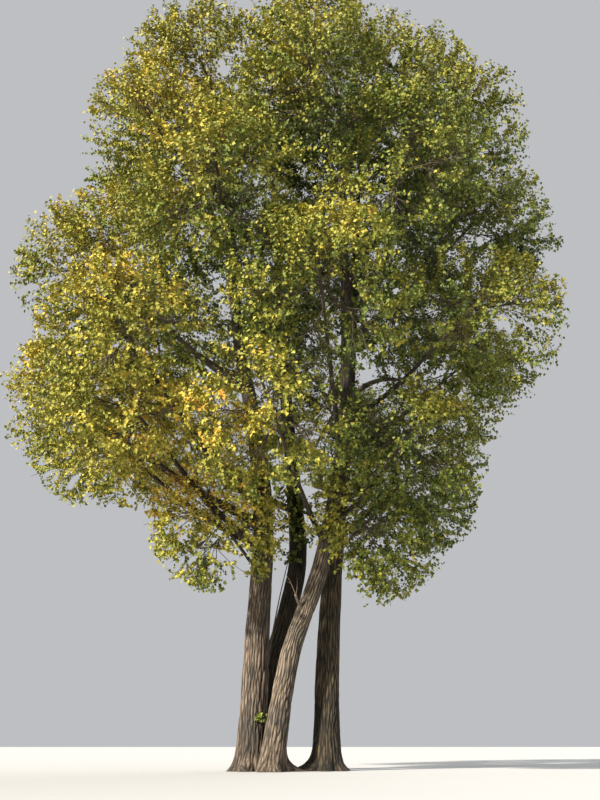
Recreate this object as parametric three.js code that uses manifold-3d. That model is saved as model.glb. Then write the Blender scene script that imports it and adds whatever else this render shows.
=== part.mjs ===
// A tall poplar in autumn leaf: four stems from one root, long rising boughs and a broad domed crown.
// Millimetres, +Z up. The origin is the middle of the flat cut under the trunk, at ground level.
// Azimuth 0 points along +X and 90 along +Y; the side that is seen in front is -Y.

import * as THREE from "three";
import { mergeVertices } from "three/addons/utils/BufferGeometryUtils.js";
import Module from "manifold-3d";

const wasm = await Module();
wasm.setup();

// Driving dimensions

const METRE = 1000;
const GAP = 0.3; // clearance between two pieces that touch
const SEED = 11; // changes every turn of the dice

// Each stem rises through a few places in metres, from its foot to its tip. girth is its diameter
// above the root flare. Each buttress is the azimuth of a surface root and its reach in metres.
const STEMS = [
  {
    name: "trunk",
    course: [
      [0, 0, 0],
      [0.2, 0, 5.1],
      [0.42, 0, 11.5],
      [-0.1, -0.2, 16],
      [-1, -0.5, 21],
      [-1.8, -1.2, 31.5],
    ],
    girth: 1.3 * METRE,
    buttresses: [[200, 0.3], [255, 0.35], [140, 0.45], [72, 0.5], [318, 0.4]],
  },
  {
    name: "stem_leaning",
    course: [
      [0.9, -0.85, 0],
      [1.8, -0.95, 5],
      [3.15, -1.3, 8.8],
      [4.3, -2.2, 15.5],
      [4.2, -4.2, 31.5],
    ],
    girth: 1.02 * METRE,
    buttresses: [[245, 0.35], [295, 0.4], [27, 1.25]],
  },
  {
    name: "stem_back",
    course: [
      [0.6, 1.45, 0],
      [0.85, 1.5, 4],
      [2.05, 1.8, 9.3],
      [1.9, 2.1, 13],
      [1.4, 3, 19],
      [0.6, 4.2, 31.5],
    ],
    girth: 1.14 * METRE,
    buttresses: [[95, 0.45], [150, 0.4], [35, 0.45], [243, 0.5]],
  },
  {
    name: "stem_right",
    course: [
      [3.38, 0.6, 0],
      [3.44, 0.6, 4],
      [3.76, 0.8, 9],
      [4.6, 1.3, 17],
      [5.6, 2.2, 31.5],
    ],
    girth: 1.2 * METRE,
    buttresses: [[207, 1.25], [265, 0.4], [325, 0.35], [25, 0.45], [90, 0.4], [150, 0.45]],
  },
];
const STEM_TIP = 0.085 * METRE; // radius where a stem enters the mass at its top
const STEM_TAPER = 0.9; // below 1 a stem keeps its girth longer
const STEM_SIDES = 12;
const STEM_STEPS = 13;
const FOOT_STEPS = 1.7; // how much closer together its rings are at the foot
const FLARE_HEIGHT = 0.85 * METRE; // height over which the root flare dies away
const FLARE_SWELL = 0.22; // swelling all round at the ground, as a share of the radius
const BUTTRESS_WIDTH = 30; // half-angle of a surface root in degrees
const BUTTRESS_FALL = 3; // how much sooner than the swelling a surface root dies away

// Rings of foliage masses, in metres. A ring has the height of its middle, its drop towards +X, the
// x of its middle, and its half-width and half-depth. Its masses have their number, the azimuths of
// the first and the step to the next, and the half-width and half-height of each. A ring runs all
// the way round, apart from the skirt, which leaves the back of the stems open.
const RINGS = [
  {
    name: "skirt",
    ring: { z: 14.2, drop: 1.1, x: 0.1, wide: 7.7, deep: 7.4 },
    masses: { count: 5, first: 172, step: 52, spread: 4.1, tall: 3.4 },
  },
  {
    name: "lower",
    ring: { z: 18.5, drop: -1.3, x: 1.3, wide: 10.1, deep: 9 },
    masses: { count: 7, first: 23, spread: 4.4, tall: 3.6 },
  },
  {
    name: "middle",
    ring: { z: 24.6, drop: -1.8, x: 1.7, wide: 9.7, deep: 8.9 },
    masses: { count: 7, first: 354, spread: 4.4, tall: 4 },
  },
  {
    name: "upper",
    ring: { z: 30.4, drop: -0.6, x: 2.1, wide: 8.3, deep: 7.2 },
    masses: { count: 6, first: 35, spread: 4.5, tall: 4.1 },
  },
  {
    name: "crest",
    ring: { z: 34.4, drop: -0.4, x: 1.7, wide: 6.4, deep: 5 },
    masses: { count: 6, first: 222, spread: 4.2, tall: 4.2 },
  },
  {
    name: "top",
    ring: { z: 34.2, drop: 0, x: 1.7, wide: 0, deep: 0 },
    masses: { count: 1, first: 0, spread: 3.4, tall: 4 },
  },
  {
    name: "inner",
    ring: { z: 24, drop: 0, x: 1.6, wide: 0, deep: 0 },
    masses: { count: 1, first: 0, spread: 4.4, tall: 4.4 },
  },
];
// Two lobes hang below the skirt.
const LOBES = [
  { name: "low_left", middle: [-1.7, -1.9, 10.6], spread: 3.3, tall: 3.1 },
  { name: "low_right", middle: [5.6, -2.8, 10.6], spread: 3.2, tall: 4 },
];

const ON_STEM_TIPS = ["crest"]; // the first of these on a stem goes on from its tip
const ON_STEM_SIDES = ["upper", "crest", "top", "inner"]; // these grow from a stem's side; others on a bough
const CHOICE_HEIGHT = 0.8; // a mass belongs to the stem nearest to it at this share of its height
const REACH_HEIGHT = 0.75; // and a bough's reach is measured from the stem at this share
const BOUGH_CLIMB = 0.68; // rise of a bough for each metre it reaches out
const BOUGH_SAG = 0.1; // how far its middle hangs below the straight line, as a share of its length
const BOUGH_SWELL = 0.02; // radius at the stem grows by this share of the bough's length
const BOUGH_ROOT = 0.05 * METRE; // from this
const BOUGH_TIP = 0.085 * METRE;
const BOUGH_SIDES = 6;
const BOUGH_STEPS = 4;
const BOUGH_ENTRY = 0.75; // how far out from a mass's middle its bough ends, as a share of the way
const LOWEST_BOUGH = 8.6 * METRE;
const HIGHEST_BOUGH = 0.9; // of its stem's height

// Twigs and leaves of a mass. At this scale one leaf stands for a whole spray.
const MIDRIB_ROOT = 0.9; // a mass's own stem starts at this share of the tip that carries it
const MIDRIB_TIP = 0.06 * METRE;
const MIDRIB_BEND = 0.4; // how far it keeps the heading of what carries it, as a share of its length
const MIDRIB_CLIMB = 0.5; // how much it turns upwards past the mass's middle
const MIDRIB_STEPS = 3;
const TWIGS = 6;
const TWIG_STARTS = [0.9, 0.5]; // places of the first and the last twig along the mass's stem
const TWIG_REACH = 0.52; // of the way from the mass's middle to the edge of its space
const TWIG_ROOT = 0.036 * METRE;
const TWIG_TIP = 0.026 * METRE;
const TWIG_SIDES = 3;
const TWIG_FREE = 0.2; // from here on a twig keeps clear of the limbs
const WHORL = [0.5, 0.75, 0.97]; // where along a twig its leaves stand
const LEAF_LEANS = [0.2, 0.5, 1]; // how far each of them leans outwards along the twig
const LEAF_LONGEST = 0.8; // of the mass's half-width; a leaf ends sooner at the edge of its mass
const LEAF_SHORTEST = 0.5;
const LEAF_TRIES = [1, 0.85, 0.7, 0.55]; // shares of that length tried in turn
const LEAF_BREADTH = 0.9; // of its length
const LEAF_THICKNESS = 0.03; // of its length
const LEAF_WAIST = 0.36; // where along the leaf it is widest
const SPACE_MARGIN = 0.12 * METRE; // every mass keeps this far inside its own space
const LIMB_MARGIN = 0.14 * METRE; // and this far from a limb
const BEAD = 0.25 * METRE; // spacing of the points that stand for a limb in that test
const GOLDEN_ANGLE = Math.PI * (3 - Math.sqrt(5));
const HALVINGS = 24; // steps of a search by halving

const BARK = { color: 0x6b5f52, roughness: 0.95, metalness: 0 };
const LIMB_BARK = { color: 0x594f44, roughness: 0.95, metalness: 0 };
const FOLIAGE = [0x93942a, 0xa7992c, 0x7d8729, 0x6a7a28];
const FOLIAGE_ROUGHNESS = 0.7;

// Small helpers

const { clamp, degToRad, euclideanModulo, lerp, radToDeg } = THREE.MathUtils;
const vec = (x, y, z) => new THREE.Vector3(x, y, z);
const metres = ([x, y, z]) => vec(x, y, z).multiplyScalar(METRE);
const topOf = (stem) => stem.course.at(-1)[2] * METRE;

// The seeded dice: a number from 0 to 1 that depends only on its two arguments.
function dice(n, k) {
  const s = Math.sin((n + SEED) * 12.9898 + k * 78.233) * 43758.5453;
  return s - Math.floor(s);
}

// Where between two places a test that holds at the low one stops holding.
function lastHeld(low, high, test) {
  for (let i = 0; i < HALVINGS; i++) {
    const half = (low + high) / 2;
    if (test(half)) low = half;
    else high = half;
  }
  return low;
}

// A closed three.js geometry as a solid.
function solidOf(geometry) {
  const bare = geometry.clone();
  bare.deleteAttribute("normal");
  bare.deleteAttribute("uv");
  const merged = mergeVertices(bare);
  const mesh = new wasm.Mesh({
    numProp: 3,
    vertProperties: merged.attributes.position.array,
    triVerts: new Uint32Array(merged.index.array),
  });
  return new wasm.Manifold(mesh);
}

// A solid as a geometry about the point where its mesh is placed.
function geometryAbout(solid, place) {
  const { numProp, vertProperties, triVerts } = solid.getMesh();
  const position = [];
  for (let i = 0; i < vertProperties.length; i += numProp) {
    position.push(vertProperties[i], vertProperties[i + 1], vertProperties[i + 2]);
  }
  const geometry = new THREE.BufferGeometry();
  geometry.setAttribute("position", new THREE.Float32BufferAttribute(position, 3));
  geometry.setIndex([...triVerts]);
  geometry.translate(-place.x, -place.y, -place.z);
  geometry.computeVertexNormals();
  return geometry;
}

function largestBody(solid) {
  const bodies = solid.decompose();
  return bodies.reduce((best, body) => (body.volume() > best.volume() ? body : best));
}

// A prism bent on to a curve: place(t, across, up) gives each of its points.
function bentPrism(sides, steps, place) {
  const corners = Array.from({ length: sides }, (_, i) => {
    const turn = (2 * Math.PI * i) / sides;
    return new THREE.Vector2(Math.cos(turn), Math.sin(turn));
  });
  const straight = { depth: 1, steps, bevelEnabled: false };
  const geometry = new THREE.ExtrudeGeometry(new THREE.Shape(corners), straight);
  const position = geometry.attributes.position;
  for (let i = 0; i < position.count; i++) {
    const p = place(position.getZ(i), position.getX(i), position.getY(i));
    position.setXYZ(i, p.x, p.y, p.z);
  }
  return geometry;
}

// Stems: level rings up a smooth course, swollen at the foot into surface roots

function stemCurve(stem) {
  return new THREE.CatmullRomCurve3(stem.course.map(metres), false, "centripetal");
}

function stemRadius(stem, height) {
  const taper = Math.pow(Math.max(0, 1 - height / topOf(stem)), STEM_TAPER);
  return lerp(STEM_TIP, stem.girth / 2, taper);
}

function flare(stem, height, azimuth) {
  const fade = Math.exp(-height / FLARE_HEIGHT);
  const ridges = stem.buttresses.map(([at, reach]) => {
    const off = (euclideanModulo(azimuth - at + 180, 360) - 180) / BUTTRESS_WIDTH;
    return Math.abs(off) < 1 ? reach * METRE * Math.cos((off * Math.PI) / 2) : 0;
  });
  const swell = FLARE_SWELL * stemRadius(stem, 0);
  return fade * swell + Math.max(...ridges) * Math.pow(fade, BUTTRESS_FALL);
}

function stemSolid(stem, extra = 0) {
  const curve = stemCurve(stem);
  const geometry = bentPrism(STEM_SIDES, STEM_STEPS, (t, across, up) => {
    const middle = curve.getPoint(Math.pow(t, FOOT_STEPS));
    const azimuth = radToDeg(Math.atan2(up, across));
    const reach = stemRadius(stem, middle.z) + flare(stem, middle.z, azimuth) + extra;
    return middle.add(vec(across * reach, up * reach, 0));
  });
  return solidOf(geometry);
}

// The stem's axis at a height.
function stemAt(stem, height) {
  const curve = stemCurve(stem);
  return curve.getPoint(lastHeld(0, 1, (t) => curve.getPoint(t).z < height));
}

// Limbs: tapering tubes along a curve

// A limb's cross-section keeps one direction level, as far as the curve lets it.
function limbFrame(curve, t) {
  const chord = curve.getPoint(1).sub(curve.getPoint(0));
  const level = chord.x === 0 && chord.y === 0 ? vec(1, 0, 0) : vec(-chord.y, chord.x, 0).normalize();
  const along = curve.getTangent(t);
  const side = level.addScaledVector(along, -level.dot(along)).normalize();
  return { along, side, over: along.clone().cross(side) };
}

function limbSolid(curve, root, tip, sides, steps) {
  const geometry = bentPrism(sides, steps, (t, across, up) => {
    const { side, over } = limbFrame(curve, t);
    const radius = lerp(root, tip, t);
    return curve.getPoint(t).addScaledVector(side, across * radius).addScaledVector(over, up * radius);
  });
  return solidOf(geometry);
}

// A limb as a row of beads, for measuring how near something comes to it.
function beadsAlong(curve, radiusAt) {
  const count = Math.ceil(curve.getLength() / BEAD);
  return Array.from({ length: count + 1 }, (_, i) => {
    const at = curve.getPoint(i / count);
    return { at, radius: radiusAt(i / count, at) };
  });
}

// A line or a flat face keeps its distance where its nearest point to every bead does.
function clearOf(beads, thickness, nearestTo) {
  return beads.every(({ at, radius }) => {
    return nearestTo(at).distanceTo(at) > radius + thickness + LIMB_MARGIN;
  });
}

// The crown: every mass with its middle and its size

function crownMasses() {
  const masses = LOBES.map((lobe) => ({ ...lobe, label: lobe.name, middle: metres(lobe.middle) }));
  for (const { name, ring, masses: kind } of RINGS) {
    for (let i = 0; i < kind.count; i++) {
      const turn = degToRad(kind.first + i * (kind.step ?? 360 / kind.count));
      const x = ring.x + ring.wide * Math.cos(turn);
      const y = ring.deep * Math.sin(turn);
      const middle = metres([x, y, ring.z - ring.drop * Math.cos(turn)]);
      masses.push({ name, label: `${name}_${i + 1}`, middle, spread: kind.spread, tall: kind.tall });
    }
  }
  masses.forEach((mass, index) => {
    mass.index = index;
    mass.spread *= METRE;
    mass.tall *= METRE;
  });
  for (const mass of masses) {
    mass.walls = masses.filter((other) => other !== mass).map((other) => wallBetween(mass, other));
  }
  return masses;
}

// Between two masses stands a flat wall, at the same share of the way as their half-widths.
function wallBetween(mass, other) {
  const toward = other.middle.clone().sub(mass.middle);
  const away = (toward.length() * mass.spread) / (mass.spread + other.spread);
  return { toward: toward.normalize(), away };
}

// A mass's own space is its ellipsoid within its walls. How far it reaches from the middle, one way.
function reach(mass, way) {
  const d = way.clone().normalize();
  const shell = 1 / Math.hypot(d.x / mass.spread, d.y / mass.spread, d.z / mass.tall) - SPACE_MARGIN;
  return mass.walls.reduce((nearest, wall) => {
    const facing = d.dot(wall.toward);
    return facing > 0 ? Math.min(nearest, (wall.away - SPACE_MARGIN) / facing) : nearest;
  }, shell);
}

function holds(mass, point) {
  const out = point.clone().sub(mass.middle);
  return out.length() < reach(mass, out);
}

// How far a point can move one way before it leaves the mass's space.
function room(mass, from, way) {
  return lastHeld(0, 2 * mass.spread, (far) => holds(mass, from.clone().addScaledVector(way, far)));
}

// What carries a mass: a bough, the tip of a stem or its side

function nearestStem(mass) {
  const apart = (stem) => {
    const at = stemAt(stem, mass.middle.z * CHOICE_HEIGHT);
    return Math.hypot(mass.middle.x - at.x, mass.middle.y - at.y);
  };
  return STEMS.reduce((best, stem) => (apart(stem) < apart(best) ? stem : best));
}

// A bough leaves its stem low down, sags a little and climbs into the edge of its mass.
function boughCurve(mass, stem) {
  const foot = stemAt(stem, mass.middle.z * REACH_HEIGHT);
  const out = Math.hypot(mass.middle.x - foot.x, mass.middle.y - foot.y);
  const height = mass.middle.z - BOUGH_CLIMB * out;
  const start = stemAt(stem, clamp(height, LOWEST_BOUGH, topOf(stem) * HIGHEST_BOUGH));
  const inward = start.clone().sub(mass.middle).normalize();
  const end = mass.middle.clone().addScaledVector(inward, BOUGH_ENTRY * reach(mass, inward));
  const bend = start.clone().lerp(end, 0.5);
  bend.z -= BOUGH_SAG * start.distanceTo(end);
  return new THREE.QuadraticBezierCurve3(start, bend, end);
}

// A mass's stem goes on from what carries it, through the middle of the mass and up.
function carryMass(mass, start, heading, root) {
  const beyond = mass.middle.clone().sub(start).normalize().add(vec(0, 0, MIDRIB_CLIMB)).normalize();
  const end = mass.middle.clone().addScaledVector(beyond, TWIG_REACH * reach(mass, beyond));
  const bend = start.clone().addScaledVector(heading, start.distanceTo(end) * MIDRIB_BEND);
  mass.stem = new THREE.QuadraticBezierCurve3(start, bend, end);
  mass.stemRoot = root;
}

// Foliage: one stem, twigs to points spread evenly over the mass, and a whorl of leaves on each

// A leaf is a slim four-cornered solid: root and tip along its keel, and two raised sides.
function leafAt(root, along, outward, length) {
  const across = outward.clone().cross(along).normalize();
  const face = along.clone().cross(across);
  const breadth = (length * LEAF_BREADTH) / 2;
  const waist = root.clone().addScaledVector(along, LEAF_WAIST * length);
  waist.addScaledVector(face, length * LEAF_THICKNESS);
  const tip = root.clone().addScaledVector(along, length);
  const left = waist.clone().addScaledVector(across, -breadth);
  const right = waist.clone().addScaledVector(across, breadth);
  return { root, tip, left, right };
}

// The corners of a tetrahedron lie at the four leaf points: two of them above the middle.
function leafSolid({ root, tip, left, right }) {
  const geometry = new THREE.TetrahedronGeometry(1);
  const position = geometry.attributes.position;
  for (let i = 0; i < position.count; i++) {
    const [first, second] = position.getZ(i) > 0 ? [root, tip] : [left, right];
    const p = position.getX(i) > 0 ? first : second;
    position.setXYZ(i, p.x, p.y, p.z);
  }
  return solidOf(geometry);
}

function leafFits(leaf, mass, beads) {
  const { root, tip, left, right } = leaf;
  if (![left, right, tip].every((corner) => holds(mass, corner))) return false;
  const faces = [new THREE.Triangle(root, left, right), new THREE.Triangle(tip, right, left)];
  return faces.every((face) => clearOf(beads, 0, (at) => face.closestPointToPoint(at, vec(0, 0, 0))));
}

// The longest leaf that stays in its mass and clear of limbs and other leaves, or nothing.
function growLeaf(mass, beads, blades, root, along, outward) {
  const length = Math.min(LEAF_LONGEST * mass.spread, room(mass, root, along));
  if (length < LEAF_SHORTEST * mass.spread) return;
  for (const share of LEAF_TRIES) {
    const leaf = leafAt(root, along, outward, share * length);
    if (!leafFits(leaf, mass, beads)) continue;
    const blade = leafSolid(leaf);
    if (blades.some((other) => !other.intersect(blade).isEmpty())) continue;
    blades.push(blade);
    return;
  }
}

// Golden spiral: directions spread evenly over a sphere, turned a little by the dice.
function evenDirection(k, count, phase) {
  const level = 1 - (2 * (k + 0.5)) / count;
  const flat = Math.sqrt(1 - level * level);
  const turn = k * GOLDEN_ANGLE + phase;
  return vec(flat * Math.cos(turn), flat * Math.sin(turn), level);
}

function twigIsClear(twig, beads) {
  const line = new THREE.Line3(twig.getPoint(TWIG_FREE), twig.getPoint(1));
  return clearOf(beads, TWIG_ROOT, (at) => line.closestPointToPoint(at, true, vec(0, 0, 0)));
}

function growMass(mass, beads) {
  const near = beads.filter(({ at, radius }) => at.distanceTo(mass.middle) < mass.spread + radius + BEAD);
  const twigs = [limbSolid(mass.stem, mass.stemRoot, MIDRIB_TIP, TWIG_SIDES, MIDRIB_STEPS)];
  const blades = [];
  const phase = 2 * Math.PI * dice(mass.index, 0);
  for (let k = 0; k < TWIGS; k++) {
    const toward = evenDirection(k, TWIGS, phase);
    const start = mass.stem.getPoint(lerp(...TWIG_STARTS, k / (TWIGS - 1)));
    const end = mass.middle.clone().addScaledVector(toward, TWIG_REACH * reach(mass, toward));
    const twig = new THREE.LineCurve3(start, end);
    if (!holds(mass, start) || !twigIsClear(twig, near)) continue;
    twigs.push(limbSolid(twig, TWIG_ROOT, TWIG_TIP, TWIG_SIDES, 1));
    // Leaves stand over the flats of the three-sided twig, each whorl turned from the last.
    const { along, side, over } = limbFrame(twig, 0);
    WHORL.forEach((t, j) => {
      const turn = ((k % 2 ? 1 : -1) * Math.PI * (2 * j + 1)) / 3;
      const way = side.clone().multiplyScalar(Math.cos(turn)).addScaledVector(over, Math.sin(turn));
      way.addScaledVector(along, LEAF_LEANS[j]).normalize();
      growLeaf(mass, near, blades, twig.getPoint(t), way, toward);
    });
  }
  return wasm.Manifold.union([...twigs, ...blades]);
}

// Assembly

function addMesh(group, name, solid, place, look) {
  const geometry = geometryAbout(solid, place);
  const mesh = new THREE.Mesh(geometry, new THREE.MeshStandardMaterial({ ...look, flatShading: true }));
  mesh.name = name;
  mesh.position.copy(place);
  group.add(mesh);
}

const poplar = new THREE.Group();
const stemGroup = new THREE.Group();
const boughGroup = new THREE.Group();
const foliageGroup = new THREE.Group();
poplar.add(stemGroup, boughGroup, foliageGroup);

// Later stems give way to earlier ones, and everything else to all of them.
const beads = [];
const stemCutters = [];
const cutByStems = (solid) => largestBody(stemCutters.reduce((rest, cutter) => rest.subtract(cutter), solid));
for (const stem of STEMS) {
  addMesh(stemGroup, stem.name, cutByStems(stemSolid(stem)), metres(stem.course[0]), BARK);
  stemCutters.push(stemSolid(stem, GAP / Math.cos(Math.PI / STEM_SIDES)));
  beads.push(...beadsAlong(stemCurve(stem), (t, at) => stemRadius(stem, at.z)));
}

const masses = crownMasses();
const freeTips = new Set(STEMS);
for (const mass of masses) {
  const stem = nearestStem(mass);
  if (ON_STEM_TIPS.includes(mass.name) && freeTips.delete(stem)) {
    const start = stemCurve(stem).getPoint(1).add(vec(0, 0, GAP));
    carryMass(mass, start, vec(0, 0, 1), MIDRIB_ROOT * STEM_TIP);
  } else if (ON_STEM_SIDES.includes(mass.name)) {
    const start = stemAt(stem, mass.middle.z - mass.tall);
    carryMass(mass, start, mass.middle.clone().sub(start).normalize(), STEM_TIP);
  } else {
    const curve = boughCurve(mass, stem);
    const root = BOUGH_SWELL * curve.getLength() + BOUGH_ROOT;
    const solid = cutByStems(limbSolid(curve, root, BOUGH_TIP, BOUGH_SIDES, BOUGH_STEPS));
    addMesh(boughGroup, `bough_${mass.label}`, solid, curve.getPoint(0), LIMB_BARK);
    beads.push(...beadsAlong(curve, (t) => lerp(root, BOUGH_TIP, t)));
    const heading = curve.getTangent(1);
    const start = curve.getPoint(1).addScaledVector(heading, GAP);
    carryMass(mass, start, heading, MIDRIB_ROOT * BOUGH_TIP);
  }
}

for (const mass of masses) {
  const others = masses.filter((other) => other !== mass);
  const otherStems = others.flatMap((other) => beadsAlong(other.stem, () => other.stemRoot));
  const grown = growMass(mass, [...beads, ...otherStems]);
  const solid = ON_STEM_SIDES.includes(mass.name) ? cutByStems(grown) : largestBody(grown);
  const color = FOLIAGE[mass.index % FOLIAGE.length];
  const look = { color, roughness: FOLIAGE_ROUGHNESS, metalness: 0 };
  addMesh(foliageGroup, `foliage_${mass.label}`, solid, mass.stem.getPoint(0), look);
}

export default poplar;
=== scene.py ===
"""A tall poplar in autumn leaf: bark, twigs and leaves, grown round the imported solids.

Metres, +Z up. Stems, boughs and the spaces of the foliage follow the same rule as the solids. From
there the rule is carried on to finer twigs, and to leaves of about twice their natural size.
"""

import itertools
import math

import bpy
import numpy as np
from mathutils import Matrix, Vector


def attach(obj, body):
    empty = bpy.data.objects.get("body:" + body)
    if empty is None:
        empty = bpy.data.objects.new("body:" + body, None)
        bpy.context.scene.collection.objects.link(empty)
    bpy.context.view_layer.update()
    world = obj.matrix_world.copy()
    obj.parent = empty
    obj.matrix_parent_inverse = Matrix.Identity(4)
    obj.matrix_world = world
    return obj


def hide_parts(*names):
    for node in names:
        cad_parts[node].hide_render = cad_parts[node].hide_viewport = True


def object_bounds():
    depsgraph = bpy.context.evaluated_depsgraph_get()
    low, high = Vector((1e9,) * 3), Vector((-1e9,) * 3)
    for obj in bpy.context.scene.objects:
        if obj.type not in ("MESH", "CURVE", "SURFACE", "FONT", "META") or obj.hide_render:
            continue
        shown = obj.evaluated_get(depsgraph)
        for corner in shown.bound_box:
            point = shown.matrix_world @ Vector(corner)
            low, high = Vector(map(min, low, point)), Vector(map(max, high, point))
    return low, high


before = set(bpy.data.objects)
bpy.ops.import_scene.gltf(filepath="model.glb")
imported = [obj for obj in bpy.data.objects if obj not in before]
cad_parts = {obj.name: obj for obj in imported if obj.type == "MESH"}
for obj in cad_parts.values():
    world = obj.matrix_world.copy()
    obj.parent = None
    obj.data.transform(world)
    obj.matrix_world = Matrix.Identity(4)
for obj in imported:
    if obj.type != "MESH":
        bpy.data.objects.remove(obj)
CAD_BOX = [list(corner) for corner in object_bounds()]

# The plant's own sizes, as in the solids

SEED = 11
GAP = 0.0003
# Each stem has its course from the ground up, its girth, and the azimuth and reach of its surface roots.
STEMS = {
    "trunk": {
        "course": [
            (0, 0, 0),
            (0.2, 0, 5.1),
            (0.42, 0, 11.5),
            (-0.1, -0.2, 16),
            (-1, -0.5, 21),
            (-1.8, -1.2, 31.5),
        ],
        "girth": 1.3,
        "buttresses": [(200, 0.3), (255, 0.35), (140, 0.45), (72, 0.5), (318, 0.4)],
    },
    "stem_leaning": {
        "course": [
            (0.9, -0.85, 0),
            (1.8, -0.95, 5),
            (3.15, -1.3, 8.8),
            (4.3, -2.2, 15.5),
            (4.2, -4.2, 31.5),
        ],
        "girth": 1.02,
        "buttresses": [(245, 0.35), (295, 0.4), (27, 1.25)],
    },
    "stem_back": {
        "course": [
            (0.6, 1.45, 0),
            (0.85, 1.5, 4),
            (2.05, 1.8, 9.3),
            (1.9, 2.1, 13),
            (1.4, 3, 19),
            (0.6, 4.2, 31.5),
        ],
        "girth": 1.14,
        "buttresses": [(95, 0.45), (150, 0.4), (35, 0.45), (243, 0.5)],
    },
    "stem_right": {
        "course": [
            (3.38, 0.6, 0),
            (3.44, 0.6, 4),
            (3.76, 0.8, 9),
            (4.6, 1.3, 17),
            (5.6, 2.2, 31.5),
        ],
        "girth": 1.2,
        "buttresses": [(207, 1.25), (265, 0.4), (325, 0.35), (25, 0.45), (90, 0.4), (150, 0.45)],
    },
}
STEM_TIP = 0.085
STEM_TAPER = 0.9
FOOT_STEPS = 1.7
FLARE_HEIGHT = 0.85
FLARE_SWELL = 0.22
BUTTRESS_WIDTH = 30
BUTTRESS_FALL = 3

# Rings of foliage masses: middle height, drop towards +X, middle x, half-width and half-depth of the
# ring, number of masses, first azimuth, step, and the half-width and half-height of a mass.
RINGS = {
    "skirt": (14.2, 1.1, 0.1, 7.7, 7.4, 5, 172, 52, 4.1, 3.4),
    "lower": (18.5, -1.3, 1.3, 10.1, 9, 7, 23, 360 / 7, 4.4, 3.6),
    "middle": (24.6, -1.8, 1.7, 9.7, 8.9, 7, 354, 360 / 7, 4.4, 4),
    "upper": (30.4, -0.6, 2.1, 8.3, 7.2, 6, 35, 60, 4.5, 4.1),
    "crest": (34.4, -0.4, 1.7, 6.4, 5, 6, 222, 60, 4.2, 4.2),
    "top": (34.2, 0, 1.7, 0, 0, 1, 0, 360, 3.4, 4),
    "inner": (24, 0, 1.6, 0, 0, 1, 0, 360, 4.4, 4.4),
}
# Single masses: middle, half-width and half-height
LOBES = {
    "low_left": ((-1.7, -1.9, 10.6), 3.3, 3.1),
    "low_right": ((5.6, -2.8, 10.6), 3.2, 4),
}
ON_STEM_TIPS = ("crest",)
ON_STEM_SIDES = ("upper", "crest", "top", "inner")
CHOICE_HEIGHT = 0.8 # a mass goes to the stem that is nearest at this share of its height
REACH_HEIGHT = 0.75 # and the way out to it is measured at this one
BOUGH_CLIMB = 0.68 # for each metre of the way out
BOUGH_SAG = 0.1 # of the way from start to end
BOUGH_SWELL = 0.02 # added to a bough's radius at the root for each metre of its length
BOUGH_ROOT = 0.05
BOUGH_TIP = 0.085
BOUGH_ENTRY = 0.75 # of the way from the mass's middle to its edge
LOWEST_BOUGH = 8.6
HIGHEST_BOUGH = 0.9 # of its stem's height
MIDRIB_ROOT = 0.9 # of the radius of the tip that carries it
MIDRIB_TIP = 0.06
MIDRIB_BEND = 0.4
MIDRIB_CLIMB = 0.5
TWIGS = 6
TWIG_STARTS = (0.9, 0.5)
TWIG_REACH = 0.52
TWIG_ROOT = 0.036
TWIG_TIP = 0.026
SPACE_MARGIN = 0.12
GOLDEN_ANGLE = math.pi * (3 - math.sqrt(5))
HALVINGS = 24
LENGTH_SAMPLES = 201

# Twigs beyond those of the solids

# Each level has its number on a twig, its reach, how far it leans outwards, its radius at the root
# and, unless it ends in a point, at the tip, and the places of its first and last twig.
FINE_TWIGS = [
    {"count": 11, "reach": 2.3, "lean": 0.8, "root": 0.02, "tip": 0.01, "starts": (1.0, 0.35)},
    {"count": 12, "reach": 1.0, "lean": 0.5, "root": 0.009, "starts": (1.0, 0.25)},
]
SHORTEST_TWIG = 0.25 # of a level's reach
FINE_SCATTER = (0.75, 1.15) # shares of a level's reach, dealt out to its twigs
FINE_BEND = 0.45 # a twig bends this far along it
FINE_SWEEP = 0.6 # the share of its parent's heading in that bend
LEVEL_KEYS = 1000 # the dice's keys start so far apart from level to level
REACH_KEYS = 0.37 # and so far from twig to twig, for its reach
ROOM_HALVINGS = 12
# Fine growth fills the space of a mass a little past its walls, to an uneven edge.
FINE_MARGIN = -0.12
EDGE_SWELL = 0.2 # of the way from the mass's middle
EDGE_LUMPS = 1.9 # size of the lumps along it
BOX_SLACK = 0.027 # how far leaves may stand out of the solids' box, as a share of its sides
# Sides and steps of the tubes
MIDRIB_MESH = (8, 8)
TWIG_MESH = (5, 4)
FINE_MESH = (3, 3)
LIMB_MESH = (8, 12)

# Leaves

# A poplar leaf's outline over its length: as broad as long, widest low down, folded a little along
# its midrib, with a point that hangs.
LEAF_OUTLINE = np.array([
    (0, 0, 0),
    (0.48, 0.34, 0.08),
    (0, 1, -0.14),
    (-0.48, 0.34, 0.08),
])
LEAF_FACES = np.array([(0, 1, 2), (0, 2, 3)])
LEAF_POINT = 2 # the corner at its tip
LEAF_LENGTH = 0.168
LEAF_SIZES = (0.75, 1.2) # of that length
LEAVES = 18 # on each of the finest twigs, before some are left out
LEAF_STARTS = (0.2, 1.0)
LEAF_PHASE = 6.28 # the first leaf of a twig stands anywhere in this turn round it
# A leaf's length points away from its twig, along the twig and down, in these shares and at random.
LEAF_ASIDE = 0.8
LEAF_ALONG = 0.5
LEAF_HANG = 0.35
LEAF_WILD = 0.3
# Its face points out of the mass and up, in these shares and at random.
FACE_OUT = 0.5
FACE_UP = 0.5
FACE_WILD = 0.55

# The crown's own ellipsoid. In the heart of it slightly fewer leaves grow.
CROWN_MIDDLE = (1.5, 0, 22)
CROWN_SIZE = (12.5, 11.6, 16.5)
HEART = 0.55
HEART_LEAVES = 0.95
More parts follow.
